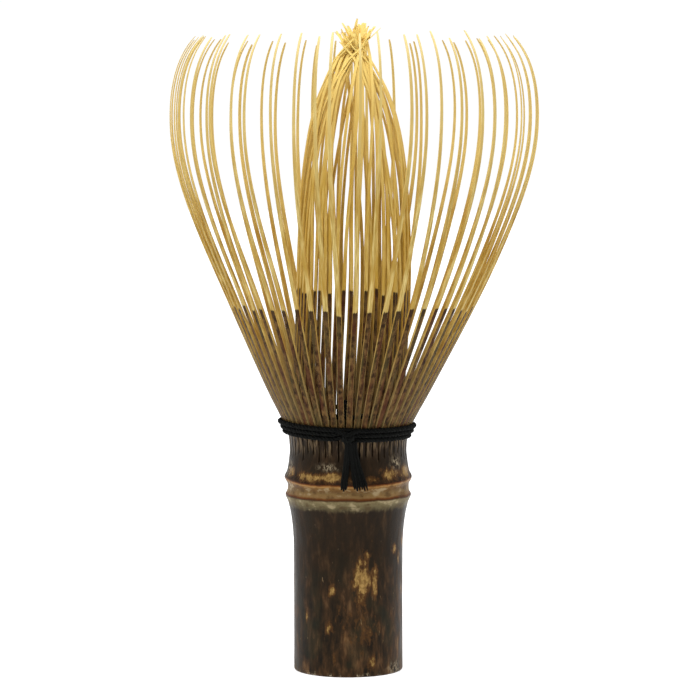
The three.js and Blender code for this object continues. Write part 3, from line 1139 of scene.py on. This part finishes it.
def make_weave():
    """The hidden course, which passes in and out between the two crowns, and its hitch."""
    body = Body("along", "around")
    steps = TINES * WEAVE_STEPS_PER_TINE
    centres = []
    for i in range(steps + 1):
        angle = FRONT + TAU * i / steps
        radius = WEAVE_R + 0.16 * math.cos(angle * TINES / 2)
        centres.append(polar(angle, radius, 0, WEAVE_Z + 0.15 * math.sin(angle * TINES / 2)))
    add_thread(body, centres, THREAD_R * 0.95)
    hitch = []
    for i in range(HITCH_TURNS * HITCH_STEPS + 1):
        turn = i / HITCH_STEPS
        x = -0.9 + 0.8 * math.cos(turn * TAU)
        radius = WEAVE_R + 0.35 + 0.3 * math.sin(turn * TAU)
        hitch.append(Vector((x, -radius, WEAVE_Z + 0.4 + HITCH_RISE * turn)))
    add_thread(body, hitch, THREAD_R * 0.8)
    finish_thread(body, "inner_weave", "inner_weave_thread")


def curve_through(points, count):
    """Evenly spaced points on a smooth curve through a few (sideways, out, height) points, at
    the front of the whisk."""
    line = Profile(spline(points, 30))
    shares = np.linspace(0, 1, count)
    where = shares * line.length[-1]
    columns = [np.interp(where, line.length, line.points[:, k]) for k in range(3)]
    return [Vector((x, -r, z)) for x, r, z in zip(*columns)]


KNOT_Z = 44.4
KNOT_STEPS = 120


def make_knot():
    """A flat square knot that gathers the thread's two ends at the front."""
    body = Body("along", "around")
    out = face_radius(KNOT_Z) + 2 * THREAD_R
    left = [
        (-1.7, out - 0.25, 44.9),
        (-0.9, out + 0.35, 44.75),
        (0.1, out + 0.75, 44.3),
        (0.8, out + 0.5, 43.7),
        (0.5, out + 0.35, 43.3),
        (-0.1, out + 0.75, 43.5),
        (-0.7, out + 0.95, 44.0),
        (-0.45, out + 0.6, 44.6),
        (0.0, out + 0.55, 44.1),
        (-0.25, out + 0.5, 43.4),
        (-0.45, out + 0.45, 42.8),
    ]
    # The right end lies over the left one as its mirror image, with its loop a little lower.
    right = [(-x, r + 0.12, z - 0.1 * (3 < i < 8)) for i, (x, r, z) in enumerate(left)]
    add_thread(body, curve_through(left, KNOT_STEPS), THREAD_R * 0.92)
    add_thread(body, curve_through(right, KNOT_STEPS), THREAD_R * 0.92, phase=1.0)
    finish_thread(body, "knot", "thread_knot")


LEFT_STRANDS = 3
RIGHT_STRANDS = 6
TAIL_STEPS = 60


def tail_path(start_x, end_x, end_z, lift):
    """One end of thread or one of its plies, hanging from the knot down the waist of the culm
    and over the node's ridge."""
    return curve_through(
        [
            (start_x, 12.75 + lift, 43.1),
            (lerp(start_x, end_x, 0.08), 12.35 + lift, 41.2),
            (lerp(start_x, end_x, 0.36), 11.85 + lift, 38.6),
            (lerp(start_x, end_x, 0.78), 12.0 + lift, 36.0),
            (end_x, 12.15 + lift, end_z),
        ],
        TAIL_STEPS,
    )


def frayed(t):
    """A strand's thickness along it, less at its cut end."""
    return 1 - 0.45 * smoothstep(t, 0.9, 1.0)


def make_tails():
    """Both ends of the thread: the left one is thin, the right one has come apart into its
    plies."""
    left = Body("along", "around")
    for k in range(LEFT_STRANDS):
        share = k / (LEFT_STRANDS - 1)
        start_x, end_x = lerp(-0.35, 0.2, share), lerp(-1.2, -0.45, share)
        path = tail_path(start_x, end_x, 34.4 - 0.25 * (k % 2), 0.1 * (k % 2))
        add_strand(left, path, 0.27, taper=frayed)
    finish_thread(left, "tail_left", "thread_tail_left")
    right = Body("along", "around")
    for k in range(RIGHT_STRANDS):
        share = k / (RIGHT_STRANDS - 1)
        start_x, end_x = lerp(0.4, 1.4, share), lerp(1.2, 3.5, share)
        path = tail_path(start_x, end_x, 34.5 - 0.15 * (k * 2 % 3), 0.14 * (k % 2))
        add_strand(right, path, lerp(0.28, 0.2, share), taper=frayed)
    finish_thread(right, "tail_right", "thread_tail_right")


# ---- The studio ----


FLOOR_HALF = 3000.0

# The room's strength over the direction looked in, which is -1 to the viewer and 1 to the back:
# (where it begins to rise, where it has risen, the strength before and after).
ROOM_FADE = (-0.75, -0.12, 0.05, 1.02)


def make_floor():
    """A white table, with the whisk in its middle."""
    body = Body()
    for x, y in ((-1, -1), (1, -1), (1, 1), (-1, 1)):
        body.point(Vector((x * FLOOR_HALF, y * FLOOR_HALF, 0)), ())
    body.face((0, 1, 2, 3))
    body.build("studio_floor", [studio_floor()])


def area_light(name, position, aim, size, power):
    """A round white lamp; its place, its aim and its size are in metres."""
    data = bpy.data.lights.new(name, "AREA")
    data.shape = "DISK"
    data.size = size
    data.energy = power
    light = bpy.data.objects.new(name, data)
    light.location = Vector(position)
    light.rotation_euler = (Vector(aim) - light.location).to_track_quat("-Z", "Y").to_euler()
    bpy.context.scene.collection.objects.link(light)


def make_world():
    """A room that is white behind the whisk and dimmer on the viewer's side."""
    world = bpy.data.worlds.new("white_room")
    world.use_nodes = True
    tree = world.node_tree
    background = tree.nodes["Background"]
    coordinates = tree.nodes.new("ShaderNodeTexCoord")
    split = tree.nodes.new("ShaderNodeSeparateXYZ")
    fade = tree.nodes.new("ShaderNodeMapRange")
    fade.interpolation_type = "SMOOTHSTEP"
    for name, value in zip(("From Min", "From Max", "To Min", "To Max"), ROOM_FADE):
        fade.inputs[name].default_value = value
    tree.links.new(coordinates.outputs["Generated"], split.inputs[0])
    tree.links.new(split.outputs["Y"], fade.inputs["Value"])
    tree.links.new(fade.outputs[0], background.inputs["Strength"])
    background.inputs["Color"].default_value = (1, 1, 1, 1)
    bpy.context.scene.world = world


def make_studio():
    make_floor()
    make_world()
    bpy.context.scene.view_settings.view_transform = "Standard"
    area_light("key", (-0.12, -0.65, 0.55), aim=(0, 0, 0.07), size=0.45, power=2.0)
    area_light("top", (0.0, -0.04, 0.46), aim=(0, 0, 0.1), size=0.34, power=1.3)


make_handle()
make_crowns()
make_binding()
make_weave()
make_knot()
make_tails()
make_studio()
